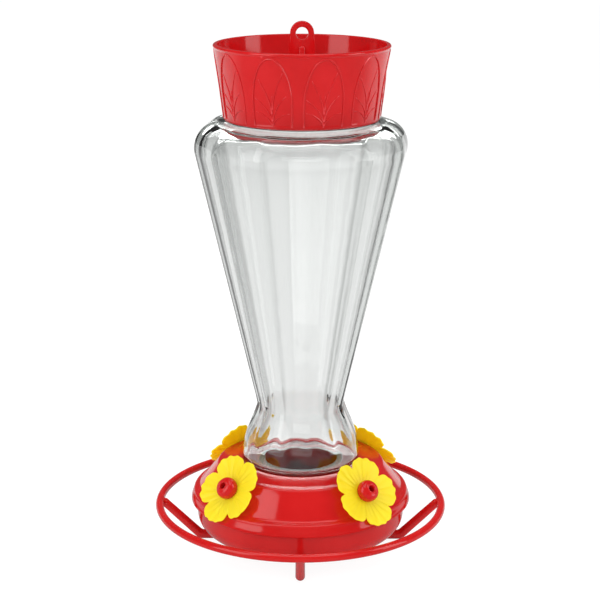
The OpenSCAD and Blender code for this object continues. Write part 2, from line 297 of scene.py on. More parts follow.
def plastic(name, deep, bright, gloss, peel_depth, through=0.0, ridge=None):
    """Moulded plastic between two close colours; through is the share of light that passes a thin piece;
    ridge is a lighter colour painted on raised lines and edges, a painted highlight.
    """
    material, tree, shader = new_material(name)
    skin_node = add_node(tree, "ShaderNodeGroup", node_tree=skin)
    skin_node.inputs["Gloss"].default_value = gloss
    skin_node.inputs["Peel Depth"].default_value = peel_depth
    ramp = add_node(tree, "ShaderNodeValToRGB")
    ramp.color_ramp.elements[0].position = 0.35
    ramp.color_ramp.elements[1].position = 0.65
    ramp.color_ramp.elements[0].color = (*deep, 1)
    ramp.color_ramp.elements[1].color = (*bright, 1)
    tree.links.new(skin_node.outputs["Flow"], ramp.inputs["Fac"])
    colour = ramp.outputs["Color"]
    # ridge: a lighter red on raised lines and sharp edges, painted on as a painted highlight.
    if ridge:
        painted_highlight_mix = add_node(tree, "ShaderNodeMix", data_type="RGBA")
        painted_highlight_mix.inputs[MIX_B].default_value = (*ridge, 1)
        tree.links.new(skin_node.outputs["Ridge"], painted_highlight_mix.inputs[MIX_FACTOR])
        tree.links.new(colour, painted_highlight_mix.inputs[MIX_A])
        colour = painted_highlight_mix.outputs[MIX_RESULT]
    tree.links.new(colour, shader.inputs["Base Color"])
    tree.links.new(skin_node.outputs["Roughness"], shader.inputs["Roughness"])
    tree.links.new(skin_node.outputs["Normal"], shader.inputs["Normal"])
    shader.inputs["IOR"].default_value = 1.49
    if through:
        thin = add_node(tree, "ShaderNodeBsdfTranslucent", Color=(1.0, 0.80, 0.05, 1))
        blend = add_node(tree, "ShaderNodeMixShader", Fac=through)
        tree.links.new(shader.outputs["BSDF"], blend.inputs[1])
        tree.links.new(thin.outputs["BSDF"], blend.inputs[2])
        tree.links.new(blend.outputs["Shader"], tree.nodes["Material Output"].inputs["Surface"])
    return material


red = plastic("red_plastic", (0.51, 0.006, 0.006), (0.56, 0.009, 0.009), 0.07, 0.02)
# The cap's red has a lighter red painted on its raised lines, rim and tab edges: a painted highlight.
red_with_painted_highlight = plastic("embossed_red_plastic", (0.51, 0.005, 0.006), (0.57, 0.008, 0.010), 0.07, 0.02,
                       ridge=(0.86, 0.10, 0.11))
yellow = plastic("yellow_plastic", (1.0, 0.90, 0.016), (1.0, 0.95, 0.026), 0.34, 0.05, through=0.4)
# The seal rubber is a pink-red, coloured paler than the rubber itself: partly painted light, standing in for
# the light that the glass foot keeps from the stopper.
rubber = plastic("seal_rubber", (0.86, 0.30, 0.32), (0.90, 0.34, 0.36), 0.4, 0.2)
soft_red = plastic("soft_red_seal", (0.50, 0.030, 0.030), (0.56, 0.040, 0.038), 0.4, 0.2)
print("materials:", [m.name for m in (red, red_with_painted_highlight, yellow, rubber, soft_red)])

# %% [markdown]
# ## Glass
# Clear glass takes its looks from two things. The light bends at each face, and on its way through
# the glass a little of it is taken away, slightly more red than green. Through one wall that hardly
# shows, but at the ridges and the outline the light runs a long way inside the wall, so those turn
# into grey-green lines. Slow waves on the faces, as a mould leaves them, break the streaks up.

# %% Glass
def pressed_glass(name, wave_depth, left_per_mm):
    """Glass with waves, that keeps the given shares of red, green and blue over each millimetre."""
    material, tree, shader = new_material(name)
    shader.inputs["Base Color"].default_value = (1, 1, 1, 1)
    shader.inputs["Roughness"].default_value = 0.0
    shader.inputs["IOR"].default_value = 1.5
    shader.inputs["Transmission Weight"].default_value = 1.0
    place = add_node(tree, "ShaderNodeTexCoord")
    waves = add_node(tree, "ShaderNodeTexNoise", Scale=55.0, Detail=1.0)
    ripple = add_node(tree, "ShaderNodeBump", Strength=wave_depth, Distance=0.0015)
    tree.links.new(place.outputs["Object"], waves.inputs["Vector"])
    tree.links.new(waves.outputs["Fac"], ripple.inputs["Height"])
    tree.links.new(ripple.outputs["Normal"], shader.inputs["Normal"])
    taken = [-math.log(share) / MM for share in left_per_mm]
    body = add_node(tree, "ShaderNodeVolumeAbsorption")
    body.inputs["Density"].default_value = 2 * max(taken)
    body.inputs["Color"].default_value = (*(1 - k / (2 * max(taken)) for k in taken), 1)
    tree.links.new(body.outputs["Volume"], tree.nodes["Material Output"].inputs["Volume"])
    return material


LEFT_PER_MM = (0.960, 0.963, 0.961)
glass = pressed_glass("clear_glass", 0.12, LEFT_PER_MM)
print("glass keeps", round(LEFT_PER_MM[1] ** 3, 3), "of the light over its 3 mm wall")

# %% [markdown]
# ## Bottle
# The bottle is one piece of pressed glass: a cone with twelve flat panels whose ridges run on over
# the shoulder, a waist, a flared foot, a wide mouth under the cap and a narrow neck in the base.
# The outside is turned round first. Then each point is moved in to its panel, with a soft minimum
# that rounds the ridges as molten glass does. The inside is turned apart and follows the panels
# faintly. The screw thread of the mouth is made the same way, by moving points out along a helix.

# %% Bottle: sizes
PANELS = 12
RIDGE_TURN = 7.7
RIDGE_ANGLE = 3.0
neck_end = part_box("bottle")[0].z / MM
mouth_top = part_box("bottle")[1].z / MM
neck_h, foot_h, cone_h = 15, 34, 141
bottle_foot = neck_end + neck_h
bottle_waist = bottle_foot + foot_h
cone_top = bottle_waist + cone_h
waist_r = 24.6
bottle_r = 57.7
flare_r = 32.6
neck_r = 23.4
mouth_r = 38.0
wall_glass = 3.0
shoulder_r = 14.4
mouth_pitch = 6
cone_tilt = math.atan((bottle_r - waist_r) / (cone_top - bottle_waist))
shoulder_x = bottle_r - shoulder_r * math.cos(cone_tilt)
shoulder_z = cone_top + shoulder_r * math.sin(cone_tilt)
shoulder_top = shoulder_z + shoulder_r
print(f"bottle from {neck_end:.1f} to {mouth_top:.1f} mm, shoulder at {shoulder_top:.1f} mm")


# %% Bottle: panels and thread
def soft_min(a, b, k):
    h = max(k - abs(a - b), 0) / k
    return min(a, b) - h * h * k / 4


def press_panels(obj, low, high, round_by, share=1.0):
    """Move the points between two heights in to flat panels, which fade out down the foot."""
    step = 2 * math.pi / PANELS
    first = math.radians(RIDGE_TURN - 90) + step / 2
    panel_cos = math.cos(step / 2 - math.radians(RIDGE_ANGLE / 2))
    for v in obj.data.vertices:
        z = v.co.z / MM
        if not low < z < high:
            continue
        r = math.hypot(v.co.x, v.co.y) / MM
        if z > shoulder_z and r < mouth_r + 3:
            continue
        turn = math.atan2(v.co.y, v.co.x)
        off = (turn - first + step / 2) % step - step / 2
        flat = r * panel_cos / math.cos(off)
        target = soft_min(r, flat, round_by)
        fade = min((z - low) / 14, 1) if z < bottle_waist else 1
        scale = 1 + (target / r - 1) * share * fade
        v.co.x *= scale
        v.co.y *= scale


def cut_thread(obj, wall_r, low, high, pitch, height):
    """Move the points of a round wall along a helix; a negative height is a thread on an inside."""
    for v in obj.data.vertices:
        z = v.co.z / MM
        r = math.hypot(v.co.x, v.co.y) / MM
        if not low < z < high or abs(r - wall_r) > 0.01:
            continue
        wraps = (z - low) / pitch - math.atan2(v.co.y, v.co.x) / (2 * math.pi)
        off = abs(wraps - round(wraps)) * pitch
        ends = min((z - low) / 1.5, (high - z) / 1.5, 1)
        scale = 1 + height * max(1 - (off / 1.3) ** 2, 0) * ends / r
        v.co.x *= scale
        v.co.y *= scale


# %% Bottle: sections
outside = (
    arc(neck_r - 0.8, neck_end + 0.8, 0.8, -90, 0, 4)
    + [(neck_r, bottle_foot - 0.6)]
    + arc(flare_r - 3.6, bottle_foot + 3.6, 3.6, -90, 0, 8)
    + curve((flare_r - 0.1, bottle_foot + 7), (flare_r - 1, bottle_foot + 19),
            (waist_r + 3.6, bottle_waist - 12), (waist_r, bottle_waist - 0.6), 24)
    + [(waist_r, bottle_waist)]
    + spaced((waist_r, bottle_waist + 0.6), (bottle_r, cone_top), 40)
    + arc(shoulder_x, shoulder_z, shoulder_r, -math.degrees(cone_tilt), 84, 28)[1:]
    + [(mouth_r + 2.6, shoulder_top), (mouth_r + 2, shoulder_top + 0.5), (mouth_r + 2, shoulder_top + 2.8),
       (mouth_r + 1.6, shoulder_top + 3.2), (mouth_r, shoulder_top + 3.8)]
    + spaced((mouth_r, shoulder_top + 3.8), (mouth_r, mouth_top - 1), 34)[:-1]
    + arc(mouth_r - 1, mouth_top - 1, 1, 0, 90, 4))
bore_r = neck_r - wall_glass
inner_r = waist_r - wall_glass
inside = (
    [(neck_r - 0.8, neck_end), (bore_r + 0.4, neck_end), (bore_r, neck_end + 0.4), (bore_r, bottle_foot + 1)]
    + arc(flare_r - 3.6, bottle_foot + 3.8, 3.8 - wall_glass * 0.6, -70, 0, 6)
    + curve((flare_r - wall_glass * 0.8, bottle_foot + 8), (flare_r - wall_glass, bottle_foot + 18),
            (inner_r, bottle_waist - 11), (inner_r, bottle_waist), 20)
    + spaced((inner_r, bottle_waist), (bottle_r - wall_glass - 1.6 * math.cos(cone_tilt), cone_top), 40)
    + arc(shoulder_x, shoulder_z, shoulder_r - wall_glass - 1.6, -math.degrees(cone_tilt), 84, 20)[1:]
    + [(mouth_r - wall_glass, shoulder_top), (mouth_r - wall_glass, mouth_top - 0.6),
       (mouth_r - wall_glass + 0.6, mouth_top), (mouth_r - 1, mouth_top)])

# %% Bottle: glass
bottle = turned("glass_bottle", outside, closed=False, steps=PANELS * 18)
press_panels(bottle, bottle_foot + 8, shoulder_top + 0.1, 0.5)
cut_thread(bottle, mouth_r, shoulder_top + 5.5, mouth_top - 2, mouth_pitch, 1.4)
bore = turned("bottle_inside", inside, closed=False, steps=PANELS * 18)
press_panels(bore, bottle_waist - 20, shoulder_top - 1, 0.5, share=0.35)
joined(bottle, bore)
weld(bottle)
finish_piece(bottle, "bottle", glass, ["bottle"], angle=40)

# %% [markdown]
# ## Cap
# The cap is a cup with an ant moat: its wall leans out to a rolled rim, its floor sits on the
# bottle's mouth, and its skirt screws over the mouth. Ten arches stand round the wall, each with a
# stem and three pairs of veins. The wall is turned with many rows, so that the points inside an arch
# can be sunk, and the outlines and veins are thin rods laid half into the wall.

# %% Cap: sizes and section
WALL = 1.8
cap_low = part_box("moat_cap")[0].z / MM
tab_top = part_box("moat_cap")[1].z / MM
cap_h = 39.7
cap_rim = cap_low + cap_h
cap_r = 42.1
cap_top_r = 46.8
lip_h = 2.0
cap_in_r = mouth_r + 2.3
cap_floor = mouth_top + 1.6
moat_floor = cap_floor + WALL
wall_top = cap_rim - lip_h
lean = (cap_top_r - cap_r) / (wall_top - cap_low)


def cap_wall_r(z):
    return cap_r + lean * (z - cap_low)


moat_r = cap_wall_r(moat_floor) - WALL
cap_section = (
    [(0, cap_floor), (cap_in_r - 0.6, cap_floor), (cap_in_r, cap_floor - 0.6)]
    + spaced((cap_in_r, cap_floor - 0.6), (cap_in_r, cap_low + 0.3), 36)
    + [(cap_in_r + 0.3, cap_low), (cap_r - 0.5, cap_low), (cap_r - 0.15, cap_low + 0.15)]
    + [(cap_r, cap_low + 0.5)] + spaced((cap_r, cap_low + 0.5), (cap_top_r, wall_top), 68)
    + arc(cap_top_r - 0.4, cap_rim - lip_h / 2, lip_h / 2, -60, 90, 8)
    + arc(cap_top_r - WALL + 0.5, cap_rim - 0.5, 0.5, 90, 180, 4)
    + [(moat_r + 1.2, moat_floor + 2.4)] + arc(moat_r - 1, moat_floor + 2, 2, -12, -90, 6)
    + [(0, moat_floor)])
cap = turned("ant_moat_cap", cap_section, closed=False, steps=360)
cut_thread(cap, cap_in_r, cap_low + 6, cap_floor - 3, mouth_pitch, -0.7)
print("cap rim at", round(cap_rim, 1), "mm, moat", round(cap_rim - moat_floor, 1), "mm deep")

# %% Cap: arches
ARCHES = 10
ARCH_TURN = 15.3
SUNK = 0.22
arch_half = 10.75
arch_low = cap_low + 1.6
arch_h = cap_h - lip_h - 2.4
arch_turns = [math.radians(360 / ARCHES * i - 90 + ARCH_TURN) for i in range(ARCHES)]


def arch_half_width(t):
    """Half width of an arch as a share of its widest, at a share t of its height."""
    s = (0.35 - t) * 0.9 if t < 0.35 else (t - 0.35) / 0.65
    return math.sqrt(max(1 - s * s, 0))


for v in cap.data.vertices:
    z = v.co.z / MM
    r = math.hypot(v.co.x, v.co.y) / MM
    t = (z - arch_low) / arch_h
    if not 0 < t < 1 or r < cap_wall_r(z) - 0.3:
        continue
    turn = math.atan2(v.co.y, v.co.x)
    near = min(abs((turn - a + math.pi) % (2 * math.pi) - math.pi) for a in arch_turns) * r
    if near < arch_half * arch_half_width(t) - 0.15:
        v.co.x *= (r - SUNK) / r
        v.co.y *= (r - SUNK) / r


def on_wall(turn, u, t, sink, share=1.0):
    """A point on the cap's wall, u half widths beside an arch's middle and a share t of its height up."""
    z = arch_low + t * arch_h
    r = cap_wall_r(z) - sink
    a = turn + u * arch_half / cap_wall_r(z)
    return (r * math.cos(a), r * math.sin(a), z, share)


outlines, veins = [], []
vein_ends = [((0.02, 0.26), (0.10, 0.50), (0.42, 0.66), (0.60, 0.80)),
             ((0.00, 0.20), (-0.10, 0.44), (-0.42, 0.56), (-0.64, 0.69)),
             ((0.02, 0.09), (0.14, 0.26), (0.42, 0.38), (0.74, 0.46)),
             ((0.00, 0.09), (-0.14, 0.24), (-0.48, 0.33), (-0.88, 0.41)),
             ((0.02, 0.03), (0.16, 0.12), (0.50, 0.20), (0.88, 0.20)),
             ((0.00, 0.03), (-0.16, 0.12), (-0.50, 0.20), (-0.86, 0.21)),
             ((0.00, 0.00), (0.00, 0.16), (0.02, 0.30), (0.03, 0.46))]
for turn in arch_turns:
    rise = [(arch_half_width(i / 22), i / 22) for i in range(22)] + [(0.16, 0.993), (0.0, 1.0)]
    side = [on_wall(turn, u, t, 0.05) for u, t in rise]
    other = [on_wall(turn, -u, t, 0.05) for u, t in rise[:-1]]
    outlines.append(side + other[::-1])
    for ends in vein_ends:
        points = curve(*ends, steps=12)
        veins.append([on_wall(turn, u, t, SUNK, 1.15 - 0.7 * i / 12) for i, (u, t) in enumerate(points)])
cap_lines = joined(drawn("arch_outlines", outlines, 0.9), drawn("arch_veins", veins, 0.8))
print("lines on the cap:", len(outlines), "outlines,", len(veins), "veins")


# %% Cap: hanging tab
def plate(name, outline, middle, hole_r, thick, rounding):
    """A flat plate in the plane of the axis, with a hole round its middle and rounded edges."""
    count = len(outline)
    verts = [(x, 0, z) for x, z in outline]
    for x, z in outline:
        across, up = x - middle[0], z - middle[1]
        run = math.hypot(across, up)
        verts.append((middle[0] + hole_r * across / run, 0, middle[1] + hole_r * up / run))
    faces = [(i, (i + 1) % count, count + (i + 1) % count, count + i) for i in range(count)]
    obj = new_mesh(name, verts, faces=faces)
    apply_modifier(obj, "SOLIDIFY", thickness=thick * MM, offset=0.0)
    weld(obj)
    return apply_modifier(obj, "BEVEL", width=rounding * MM, segments=3, limit_method="ANGLE",
                          angle_limit=math.radians(50))


tab_half, tab_foot_half, tab_t, tab_hole_r = 6.4, 8.25, 3.4, 3.3
hole_z = tab_top - tab_half
tab_low = moat_floor - 0.6
head = arc(0, hole_z, tab_half, -8, 188, 40)
leg_right = spaced((tab_foot_half, tab_low), head[0], 14)[:-1]
leg_left = [(-x, z) for x, z in leg_right[::-1]]
foot_edge = spaced((-tab_foot_half, tab_low), (tab_foot_half, tab_low), 10)
tab = plate("tab", head + leg_left + [(-tab_foot_half, tab_low)] + foot_edge + leg_right, (0, hole_z),
            tab_hole_r, tab_t, 0.5)
rib_top = hole_z - 7
for side in (1, -1):
    profile = [(0, tab_low), (side * (tab_t / 2 + 6.5), tab_low), (side * (tab_t / 2 + 0.6), rib_top),
               (0, rib_top + 1)]
    rib = new_mesh("rib", [(0, y, z) for y, z in profile], faces=[(0, 1, 2, 3)])
    apply_modifier(rib, "SOLIDIFY", thickness=3 * MM, offset=0.0)
    weld(rib)
    apply_modifier(rib, "BEVEL", width=0.5 * MM, segments=3)
    joined(tab, rib)
joined(cap, cap_lines, tab)
finish_piece(cap, "cap", red_with_painted_highlight, ["moat_cap"], angle=40)

# %% [markdown]
# ## Base: cover and bowl
# The base is two mouldings. The cover is a low dome with a soft step above its skirt, a socket for
# the bottle's foot and four holes for the feeding ports. The bowl below it holds the nectar and has
# a post in its middle. Both are turned, with real wall thickness, since the joints lift them apart.

# %% Base: sizes
bowl_r = 58.4
bowl_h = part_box("bowl_seal")[0].z / MM
bowl_floor = 8.9
peg_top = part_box("base_bowl")[1].z / MM
post_top = neck_end - 2.6
skirt_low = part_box("base_cover")[0].z / MM
seal_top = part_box("bowl_seal")[1].z / MM
skirt_top = seal_top + WALL
step_z = skirt_top + 1.4
dome_tilt = math.radians(37.5)
dome_run = 16.1
dome_foot_r = bowl_r - 1.7
dome_top_r = dome_foot_r - dome_run * math.sin(dome_tilt)
dome_top = step_z + dome_run * math.cos(dome_tilt)
socket_r = flare_r - 0.4
socket_edge = dome_top + 3
seat_z = socket_edge - 2.3
collar_r = neck_r + 0.4
skirt_in_r = bowl_r + 0.4
skirt_r = skirt_in_r + WALL
print("cover from", round(skirt_low, 1), "to", round(socket_edge, 1), "mm; bowl rim at", round(bowl_h, 1))

# %% Base: cover
FILLET = 3.0
dome_side = (
    arc(dome_foot_r + FILLET * math.cos(dome_tilt), step_z + FILLET * math.sin(dome_tilt), FILLET, -100,
        -180 + math.degrees(dome_tilt), 8)
    + spaced((dome_foot_r, step_z), (dome_top_r + 0.8, dome_top - 1), 8)[:-1]
    + arc(dome_top_r - 2.2 * math.cos(dome_tilt), dome_top - 2.2 * math.sin(dome_tilt), 2.2,
          math.degrees(dome_tilt), 78, 6)
    + curve((dome_top_r - 4, dome_top + 0.9), (dome_top_r - 7, dome_top + 1.4),
            (socket_r + 5, socket_edge), (socket_r + 1.2, socket_edge), 10))
skirt = (
    [(skirt_r + 0.7, skirt_low)]
    + curve((skirt_r + 1.25, skirt_low + 0.5), (skirt_r + 1.3, skirt_low + 2),
            (skirt_r + 0.3, skirt_top - 3), (skirt_r - 0.1, skirt_top - 1.5), 10)
    + arc(skirt_r - 1.65, skirt_top - 1.55, 1.55, 8, 72, 8))
cover_section = (
    [(skirt_in_r, skirt_low + 2), (skirt_in_r + 0.9, skirt_low)]
    + skirt + dome_side
    + arc(socket_r + 0.6, socket_edge - 0.6, 0.6, 90, 180, 4)
    + [(socket_r, seat_z), (collar_r, seat_z), (collar_r, neck_end + 3), (collar_r + WALL, neck_end + 3),
       (collar_r + WALL, seat_z - WALL), (socket_r + WALL, seat_z - WALL)]
    + [p for p in moved_in(dome_side, WALL)[::-1] if p[0] < bowl_r - WALL]
    + [(bowl_r - WALL, seal_top), (skirt_in_r, seal_top)])
cover = turned("base_cover_moulding", cover_section, steps=180)

# %% Base: where the ports sit
PLACES = ("front_left", "front_right", "back_left", "back_right")
port_turn = -2.6
port_share = 0.62
clip_hole_r = 3.55
port_angles = {place: angle + port_turn for place, angle in zip(PLACES, (225, 315, 135, 45))}
port_seat = (dome_foot_r + port_share * (dome_top_r - dome_foot_r),
             step_z + port_share * (dome_top - step_z))


def seat_matrix(angle):
    """From a flower's own frame to its seat on the dome."""
    return (Matrix.Rotation(math.radians(angle), 4, "Z")
            @ Matrix.Translation((port_seat[0] * MM, 0, port_seat[1] * MM))
            @ Matrix.Rotation(math.pi / 2 - dome_tilt, 4, "Y"))


drills = []
for place in PLACES:
    only(cover)
    bpy.ops.mesh.primitive_cylinder_add(vertices=32, radius=clip_hole_r * MM, depth=12 * MM)
    drill = bpy.context.object
    drill.data.transform(seat_matrix(port_angles[place]))
    drills.append(drill)
drill = joined(*drills)
apply_modifier(cover, "BOOLEAN", operation="DIFFERENCE", object=drill, solver="EXACT")
bpy.data.objects.remove(drill)
finish_piece(cover, "cover", red, ["base_cover"], angle=35)

# %% Base: bowl
corner_r = 10
corner_x, corner_z = bowl_r - corner_r, bowl_floor + corner_r
post_r, peg_r = 8.0, 3.6
bowl_section = (
    [(0, post_top - WALL), (post_r - WALL, post_top - WALL), (post_r - WALL, bowl_floor)]
    + arc(corner_x, corner_z, corner_r, -90, 0, 16)
    + arc(bowl_r - 0.5, bowl_h - 0.5, 0.5, 0, 90, 4)
    + arc(bowl_r - WALL + 0.5, bowl_h - 0.5, 0.5, 90, 180, 4)
    + arc(corner_x, corner_z, corner_r - WALL, 0, -90, 14)
    + arc(post_r + 1.5, bowl_floor + WALL + 1.5, 1.5, -90, -180, 5)
    + [(post_r, post_top - 0.4), (post_r - 0.4, post_top), (peg_r, post_top), (peg_r, peg_top - 0.5),
       (peg_r - 0.5, peg_top), (0, peg_top)])
bowl = turned("nectar_bowl", bowl_section, closed=False, steps=180)
ring_in_r, ring_r, ring_low, ring_edge = 24.15, 25.95, bowl_floor - 2.5, 0.3
foot_ring = turned("bowl_foot_ring", [
    (ring_in_r, bowl_floor + 0.6), (ring_in_r, ring_low + ring_edge), (ring_in_r + ring_edge, ring_low),
    (ring_r - ring_edge, ring_low), (ring_r, ring_low + ring_edge), (ring_r, bowl_floor + 0.6)], steps=120)
joined(bowl, foot_ring)
finish_piece(bowl, "base", red, ["base_bowl"], angle=35)

# %% [markdown]
# ## Valve stopper
# The stopper sits on the bowl's post and shuts the narrow neck while the bottle is filled from the
# top. It is seen through the glass foot, so it gets a raised knob, a lip round it and a soft edge.

# %% Valve stopper
stop_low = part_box("valve_stopper")[0].z / MM
stop_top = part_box("valve_stopper")[1].z / MM
stopper_r, stop_edge = 24.2, 0.5
peg_hole_r, peg_hole_h = peg_r + 0.05, 3
lip_r, knob_r, knob_edge = 19.5, 8.9, 0.7
stopper_section = (
    [(0, stop_low + peg_hole_h), (peg_hole_r, stop_low + peg_hole_h), (peg_hole_r, stop_low),
     (stopper_r - stop_edge, stop_low), (stopper_r, stop_low + stop_edge), (stopper_r, neck_end - stop_edge),
     (stopper_r - stop_edge, neck_end), (lip_r, neck_end), (lip_r - 0.5, neck_end + 0.8)]
    + arc(lip_r - 1.6, neck_end + 0.6, 0.9, 20, 100, 5)
    + [(10.5, neck_end + 0.7)]
    + arc(knob_r - knob_edge, stop_top - knob_edge, knob_edge, 0, 90, 5)
    + [(0, stop_top)])
stopper = turned("neck_stopper", stopper_section, closed=False, steps=96)
# The stopper's pale rubber colour is partly painted light, for the light that the glass foot keeps from it.
finish_piece(stopper, "base", rubber, ["valve_stopper"], angle=40)

# %% [markdown]
# ## Perch
# The perch is one moulding: a ring, four bent struts and a cradle ring that carries the bowl. Rods
# that merely cross would meet in sharp corners. So the parts are fused with a voxel remesh and
# smoothed a little, which leaves the soft fillets that a mould has where a strut meets the ring.

# %% Perch
VOXEL = 0.62
perch_r, perch_d, perch_z = 80.0, 4.6, 23.4
strut_r, bend_r = 2.7, 57.2
cradle_r, cradle_w, cradle_top = 32.0, 6.0, bowl_floor - 0.1
tip = (perch_r - perch_d * 0.4, perch_z - perch_d * 0.1)
run_in = spaced((bend_r, strut_r), (cradle_r - cradle_w / 2, strut_r), 4)
slope = math.hypot(tip[0] - bend_r, tip[1] - strut_r)
along = ((tip[0] - bend_r) / slope, (tip[1] - strut_r) / slope)
elbow = curve((bend_r + 1.2 * along[0], strut_r + 1.2 * along[1]), (bend_r, strut_r), (bend_r, strut_r),
              (bend_r - 1.2, strut_r), 6)
struts = []
for k in range(4):
    a = math.radians(90 * k)
    side_view = [(tip, 2.5 / strut_r)] + [(p, 1.0) for p in elbow] + [(p, 1.0) for p in run_in]
    struts.append([(r * math.cos(a), r * math.sin(a), z, share) for (r, z), share in side_view])
perch = drawn("perch_moulding", struts, 2 * strut_r, sides=6)
only(perch)
bpy.ops.mesh.primitive_torus_add(location=(0, 0, perch_z * MM), major_radius=perch_r * MM,
                                 minor_radius=perch_d / 2 * MM, major_segments=256, minor_segments=32)
ring = bpy.context.object
cradle = turned("cradle", [(cradle_r - cradle_w, 0), (cradle_r - 0.6, 0), (cradle_r, 0.6),
                           (cradle_r, cradle_top), (cradle_r - cradle_w, cradle_top)], steps=120)
joined(perch, ring, cradle)
apply_modifier(perch, "REMESH", mode="VOXEL", voxel_size=VOXEL * MM)
apply_modifier(perch, "SMOOTH", factor=0.5, iterations=6)
finish_piece(perch, "base", red, ["perch"], angle=60)

# %% [markdown]
# ## Flowers and ports
# Each flower is a thin yellow cup of five broad petals. A petal is drawn as a fan of points: its edge
# waves a little, its surface has soft radial folds near the port, and one side of it lies over its
# neighbour. The red port is a ball with a soft lip round its drinking hole, and its stem clips
# through the flower and the cover.

# %% Flower
PETALS = 5
flower_r = 19.8
notch_r = 13.8
port_r = 6.1
hub_r = 3.6
cup_rise = 3.4
petal_t = 1.1
petal_blunt = 3.0
edge_wave, petal_fold, petal_lap, petal_wave, tip_drop = 0.34, 0.17, 0.42, 0.30, 0.25
span = 2 * math.pi / PETALS


def cup(r):
    return 0.6 + (cup_rise - 0.6) * (r / flower_r) ** 1.5


def petal_point(turn, share):
    """A point in the middle of a petal's thickness, a share of the way from the hub to its edge."""
    t = ((turn + span / 2) % span) / span * 2 - 1
    edge = notch_r + (flower_r - notch_r) * math.sqrt(1 - abs(t) ** petal_blunt)
    edge += edge_wave * math.cos(5 * math.pi * t) * (1 - t * t)
    r = hub_r + (edge - hub_r) * share
    out = min(max((r - port_r) / (flower_r - port_r), 0), 1)
    fold = petal_fold * math.cos(5 * math.pi * t) * math.sin(math.pi * min(out * 1.25, 1)) * (1 - t * t)
    lap = petal_lap * t * out
    wave = petal_wave * math.cos(4 * math.pi * t + 0.6) * out * out
    z = cup(max(r, port_r)) + petal_t / 2 + fold + lap + wave - tip_drop * out
    return (r * math.cos(turn), r * math.sin(turn), z)


ROUND, RINGS = 150, 12
points = [petal_point(2 * math.pi * i / ROUND, j / RINGS) for j in range(RINGS + 1) for i in range(ROUND)]
quads = [(j * ROUND + i, j * ROUND + (i + 1) % ROUND, (j + 1) * ROUND + (i + 1) % ROUND, (j + 1) * ROUND + i)
         for j in range(RINGS) for i in range(ROUND)]
flower = new_mesh("flower", points, faces=quads)
weld(flower)
apply_modifier(flower, "SOLIDIFY", thickness=(petal_t - 0.1) * MM, offset=0.0)
apply_modifier(flower, "SUBSURF", levels=1, render_levels=1)
hub = turned("flower_hub", [(hub_r, 0.1), (5.6, 0.1), (5.8, 0.3), (5.8, 1.6), (hub_r, 1.6)], steps=48)
joined(flower, hub)
weld(flower)

# %% Port
port_seat_h = cup(port_r) + petal_t
drink_r, stem_r, clip_r, ball_bulge = 1.7, 3.5, 4.0, 6.4
clip_low, clip_top = -4.4, -2.0
port_section = (
    [(drink_r, clip_low), (clip_r - 0.9, clip_low), (clip_r, clip_low + 1.2), (clip_r, clip_top),
     (stem_r, clip_top), (stem_r, port_seat_h), (5.2, port_seat_h)]
    + curve((5.4, port_seat_h + 0.1), (ball_bulge, port_seat_h + 1.9), (ball_bulge, port_seat_h + 4.6),
            (4.3, port_seat_h + 6.05), 14)
    + curve((4.1, port_seat_h + 6.15), (3.8, port_seat_h + 6.3), (3.4, port_seat_h + 6.35),
            (3.1, port_seat_h + 6.5), 4)
    + arc(drink_r + 0.8, port_seat_h + 6.0, 0.8, 60, 180, 8))
port = turned("port", port_section, steps=64)

# %% Flowers and ports in place
flower_turns = dict(zip(PLACES, (-5, 7, -6.4, 5.2)))
for place in PLACES:
    to_seat = seat_matrix(port_angles[place])
    petals = copied(flower, "petals_" + place)
    petals.data.transform(to_seat @ Matrix.Rotation(math.radians(flower_turns[place]), 4, "Z"))
    finish_piece(petals, "cover", yellow, ["flower_" + place], angle=60)
    ball = copied(port, "drinking_port_" + place)
    ball.data.transform(to_seat)
    finish_piece(ball, "cover", red, ["port_" + place], angle=35)
bpy.data.objects.remove(flower)
bpy.data.objects.remove(port)

# %% [markdown]
# ## Floor and light
# A feeder for a shop's page stands on white, so the world and the floor are white to the camera.
# Clear glass shows only what stands round it. So rays that pass through the glass see eight pale
# panels round the feeder, with darker gaps between them: the flat faces look white, and the ridges bend
# the light into the gaps and turn into grey lines. In reflections the floor is pale behind the feeder
# and dark in front of it, and the world is dim, which keeps the red deep.
#
# Two tall soft boxes at the sides give the red its two pale bands. One from above, one behind and one
# in front fill the shadows, and the last two show in no reflection.

# %% Backdrop group
BACKDROP_PANELS = 8
PANEL_LEVEL, GAP_LEVEL = 0.86, 0.5
backdrop, backdrop_in, backdrop_out = new_group(
    "studio_backdrop", [("Vector", "NodeSocketVector", (0, 1, 0))], [("Level", "NodeSocketFloat")])
parts = add_node(backdrop, "ShaderNodeSeparateXYZ")
azimuth = add_node(backdrop, "ShaderNodeMath", operation="ARCTAN2")
repeated = add_node(backdrop, "ShaderNodeMath", operation="MULTIPLY")
repeated.inputs[1].default_value = BACKDROP_PANELS
stripes = add_node(backdrop, "ShaderNodeMath", operation="COSINE")
fall = add_node(backdrop, "ShaderNodeMapRange", interpolation_type="SMOOTHSTEP")
fall.inputs["From Min"].default_value = -0.7
fall.inputs["From Max"].default_value = 0.4
fall.inputs["To Min"].default_value = GAP_LEVEL
fall.inputs["To Max"].default_value = PANEL_LEVEL
backdrop.links.new(backdrop_in.outputs["Vector"], parts.inputs["Vector"])
backdrop.links.new(parts.outputs["Y"], azimuth.inputs[0])
backdrop.links.new(parts.outputs["X"], azimuth.inputs[1])
backdrop.links.new(azimuth.outputs["Value"], repeated.inputs[0])
backdrop.links.new(repeated.outputs["Value"], stripes.inputs[0])
backdrop.links.new(stripes.outputs["Value"], fall.inputs["Value"])
backdrop.links.new(fall.outputs["Result"], backdrop_out.inputs["Level"])


